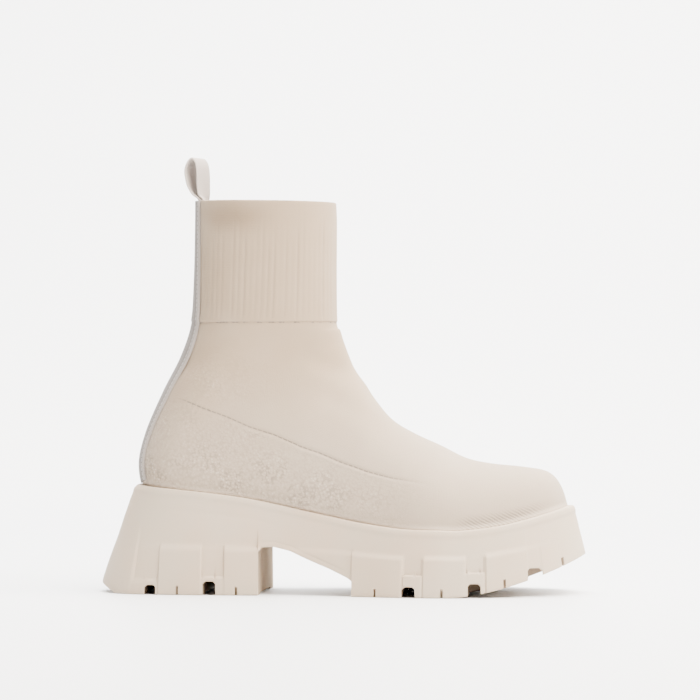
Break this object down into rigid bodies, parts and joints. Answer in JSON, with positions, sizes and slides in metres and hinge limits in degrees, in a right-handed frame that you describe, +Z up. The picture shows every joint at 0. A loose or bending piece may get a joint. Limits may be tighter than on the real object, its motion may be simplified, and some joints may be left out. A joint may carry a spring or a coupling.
{
  "type": "sock boot",
  "caption": "Knitted sock boot with a ribbed cuff and heel pull loop, on a thick moulded sole with a block heel, arch and side lugs.",
  "frame": {"origin": "on the floor, under the middle of the heel block", "axes": "+X towards the toe, +Z up, +Y towards the inner side of the foot, so the outer side faces -Y"},
  "size_m": [0.2875, 0.1101, 0.258],
  "materials": {
    "rubber": "matt moulded",
    "knit": "knitted, matt",
    "lining": "brushed lining cloth",
    "tape": "woven tape",
    "webbing": "woven tape"
  },
  "bodies": {
    "root": {"sole": "rubber", "upper": "knit", "insole": "lining", "back_tape": "tape", "pull_loop": "webbing"}
  },
  "joints": []
}
